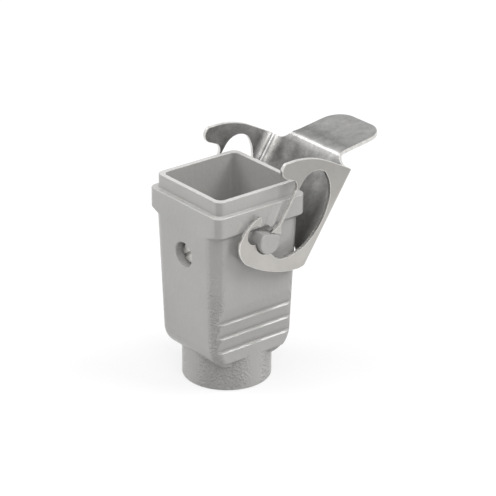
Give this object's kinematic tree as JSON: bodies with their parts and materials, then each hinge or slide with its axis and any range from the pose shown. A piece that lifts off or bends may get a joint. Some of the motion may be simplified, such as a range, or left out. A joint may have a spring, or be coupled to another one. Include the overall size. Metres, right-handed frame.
{
  "type": "heavy-duty connector hood",
  "caption": "Square die-cast connector hood with a threaded cable boss below, an open mating side on top and a stamped steel locking lever swung open on two side pegs.",
  "frame": {"origin": "axis of the cable boss at its lower end face", "axes": "+Z from the cable boss up to the mating rim, Y along the lever's swing axis, +X towards the lever's back plate and tab"},
  "size_m": [0.0588, 0.0344, 0.0611],
  "materials": {
    "hood_paint": "semi-gloss grey powder coat with a fine orange peel",
    "screw_steel": "zinc plated, satin",
    "lever_steel": "tumbled stainless sheet, finely grained"
  },
  "bodies": {
    "hood": {"hood_shell": "hood_paint", "insert_screw": "screw_steel"},
    "lever": {"locking_lever": "lever_steel"}
  },
  "joints": [
    {"name": "lever_pivot", "type": "hinge", "parent": "hood", "child": "lever", "pos_m": [0, 0, 0.042], "axis": [0, -1, 0], "range_deg": [0, 34]}
  ]
}
